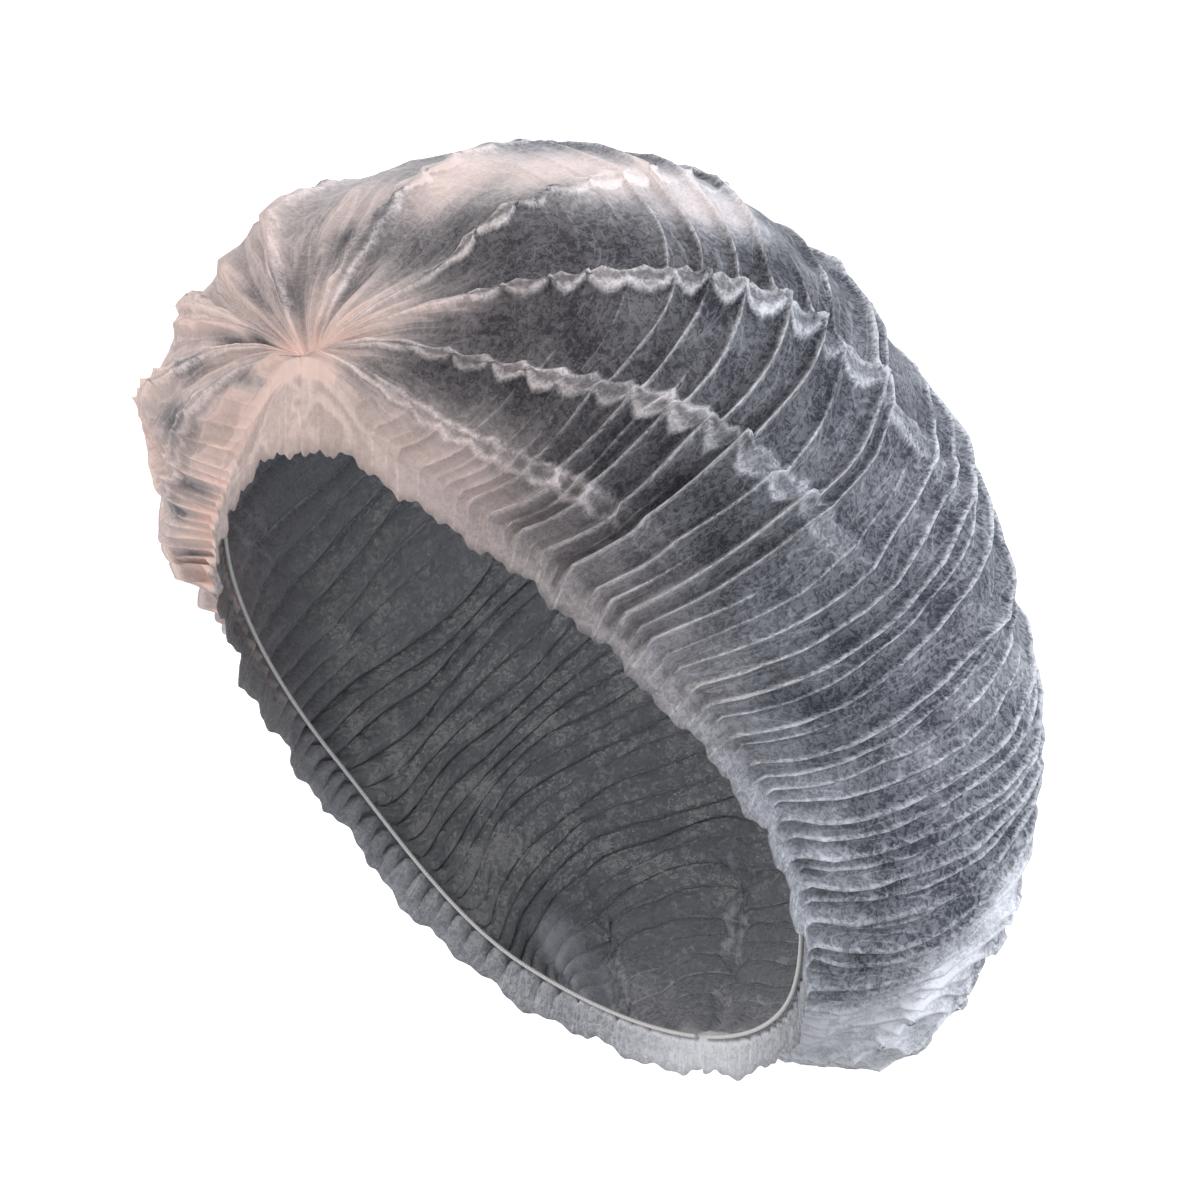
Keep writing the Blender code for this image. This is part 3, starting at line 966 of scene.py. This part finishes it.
def nonwoven():
    """Painted shade grey where the cover is low, and white where it is high, with painted warm light in
    front.
    """
    finish = Finish("sheer spunbond nonwoven")
    place = finish.node("ShaderNodeTexCoord", output=3)
    flat = finish.node("ShaderNodeUVMap", {"uv_map": "cloth"})
    crease, layers = finish.mark("crease"), finish.mark("layers")
    vein = finish.noise(flat, VEIN_SCALES, 1.0, 0.55, 0.5)
    felt = finish.noise(place, FELT_SCALE, 3.0, 0.75, 0.9)
    mottle = finish.ramp(felt, 0.38, 0.74)
    weld = weld_points(finish, flat)
    fibres = FELT_COVER * mottle + FIBRE_COVER * finish.line(felt, 0.54, 0.035)
    fibres = fibres + VEIN_COVER * finish.line(vein, 0.5, 0.03)
    fibres = fibres + CLOUD_COVER * finish.mark("cloud") + WELD_COVER * weld
    ridge = finish.ramp(crease * (0.25 + 0.8 * mottle + 0.8 * vein), 0.15, 0.95)
    rearwards = finish.ramp(finish.part(place, 1), *FRONT_TO_REAR)
    # Painted shade and light: the felt is made darker in front and lighter towards the rear.
    fibres = fibres * (0.42 + 0.9 * rearwards)
    cover = (fibres + ridge * RIDGE_COVER + layers * LAYER_COVER).clamped()
    cover = cover + knot_wrinkles(finish, flat, layers)
    # Painted warm light: the white warms in front and in dense cloth, and cools towards the rear.
    white = finish.mix((0.3 + 0.8 * layers - 1.2 * rearwards).clamped(), CLEAR_WHITE, WARM_PAINTED_LIGHT)
    # Painted shade grey where the cover is low, white where it is high.
    colour = finish.mix(cover, finish.mix(rearwards, FRONT_PAINTED_SHADE, REAR_PAINTED_SHADE), white)
    pressed = {"Strength": 0.5, "Distance": WELD_DEPTH, "Height": 1 - weld}
    bump = finish.node("ShaderNodeBump", None, pressed)
    finish.surface(Base_Color=colour, Alpha=(0.70 + 0.6 * cover).clamped())
    finish.surface(Roughness=0.92 - 0.14 * mottle, Normal=bump)
    finish.surface(Specular_IOR_Level=0.2, Sheen_Weight=0.2, Sheen_Roughness=0.4)
    return finish.material


sheet.data.materials.append(nonwoven())


# %% [markdown]
# ## Wound elastic
#
# The elastic is a rubber core with a white thread wound round it, which shows as fine ribs. A sine of the
# length along the thread gives one rib for every turn, 0.7 mm apart, in the colour and in the bump.

# %% Elastic material
RIB_TURN = 9000.0
RIB_DEPTH = 0.0002
RIB_WHITE = (0.93, 0.92, 0.90, 1.0)
RIB_SHADE = (0.72, 0.71, 0.70, 1.0)


def wound_elastic():
    """Ribs between a shaded and a full white."""
    finish = Finish("white wound elastic")
    ribs = (finish.mark("thread") * RIB_TURN).sine() * 0.5 + 0.5
    colour = finish.mix(ribs, RIB_SHADE, RIB_WHITE)
    raised = {"Strength": 0.6, "Distance": RIB_DEPTH, "Height": ribs}
    bump = finish.node("ShaderNodeBump", None, raised)
    finish.surface(Base_Color=colour, Roughness=0.6, Normal=bump)
    return finish.material


elastic_finish = wound_elastic()
for elastic in elastics:
    elastic.data.materials.append(elastic_finish)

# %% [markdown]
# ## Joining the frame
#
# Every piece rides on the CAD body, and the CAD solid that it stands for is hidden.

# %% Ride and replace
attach(sheet, "root")
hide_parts("pleated_sheet")
for elastic, node in zip(elastics, ("left_elastic", "right_elastic")):
    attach(elastic, "root")
    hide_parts(node)

# %% [markdown]
# ## Floor and light
#
# A plain pale floor that curves up all round into a backdrop has no horizon from any side. It is a curve
# turned round the Z axis: flat, then a quarter circle, then straight up. It glows a little, so that it
# stays white behind the cap, and sends no light of its own back to it.

# %% Backdrop
FLOOR_LEVEL = -0.35
FLOOR_RADIUS = 4.0
SWEEP_RADIUS = 2.0
WALL_HEIGHT = 4.0
FLOOR_RINGS = (0.02, 1.0, 2.5)
BACKDROP_SIDES = 96


def make_backdrop():
    """Rings of radius r and height z along the profile, turned round the vertical axis."""
    arc = np.linspace(0, math.pi / 2, 17)
    swept_out, swept_up = SWEEP_RADIUS * np.sin(arc), SWEEP_RADIUS * (1 - np.cos(arc))
    radius = np.concatenate([FLOOR_RINGS, FLOOR_RADIUS + swept_out, [FLOOR_RADIUS + SWEEP_RADIUS]])
    height = np.concatenate([np.zeros(len(FLOOR_RINGS)), swept_up, [WALL_HEIGHT]]) + FLOOR_LEVEL
    turn = np.linspace(0, 2 * math.pi, BACKDROP_SIDES, endpoint=False)
    x, y = radius[:, None] * np.cos(turn), radius[:, None] * np.sin(turn)
    points = np.stack([x, y, np.broadcast_to(height[:, None], x.shape)], -1)
    index = np.arange(points[..., 0].size).reshape(x.shape)
    beside = np.roll(index, -1, axis=1)
    quads = np.stack([index[:-1], beside[:-1], beside[1:], index[1:]], -1).reshape(-1, 4)[:, ::-1]
    mesh = bpy.data.meshes.new("backdrop")
    mesh.from_pydata(points.reshape(-1, 3).tolist(), [], quads.tolist() + [index[0].tolist()])
    mesh.shade_smooth()
    backdrop = link(bpy.data.objects.new("backdrop", mesh))
    backdrop.visible_diffuse = False
    paper = Finish("white paper")
    paper.surface(Base_Color=(0.95, 0.95, 0.95, 1.0), Roughness=0.95)
    paper.surface(Emission_Color=(1.0, 1.0, 1.0, 1.0), Emission_Strength=0.9)
    backdrop.data.materials.append(paper.material)
    return backdrop


make_backdrop()


# %% Soft studio light
def area_light(name, azimuth, elevation, distance, size, power, colour):
    """A square lamp at an angle round the cap, aimed at its middle."""
    data = bpy.data.lights.new(name, "AREA")
    data.size, data.energy, data.color = size, power, colour
    lamp = link(bpy.data.objects.new(name, data))
    a, e = math.radians(azimuth), math.radians(elevation)
    away = Vector((math.sin(a) * math.cos(e), -math.cos(a) * math.cos(e), math.sin(e)))
    lamp.location = CAP_MIDDLE + away * distance
    lamp.rotation_mode = "QUATERNION"
    lamp.rotation_quaternion = (-away).to_track_quat("-Z", "Y")
    return lamp


# Each row: name, azimuth, elevation, distance, size, power, colour.
LIGHTS = (
    ("key", -5, 36, 2.2, 0.9, 20, (1.0, 0.96, 0.92)),
    ("fill", 108, 15, 2.4, 1.4, 44, (0.90, 0.94, 1.0)),
    ("top", 190, 70, 2.2, 1.4, 7, (1.0, 1.0, 1.0)),
)
SKY_COLOUR = (0.95, 0.97, 1.0, 1.0)
SKY_STRENGTH = 0.52

for row in LIGHTS:
    area_light(*row)
world = bpy.data.worlds.new("studio")
world.use_nodes = True
sky = world.node_tree.nodes["Background"]
sky.inputs["Color"].default_value = SKY_COLOUR
sky.inputs["Strength"].default_value = SKY_STRENGTH
scene = bpy.context.scene
scene.world = world
scene.view_settings.view_transform = "Standard"
scene.cycles.transparent_max_bounces = 16
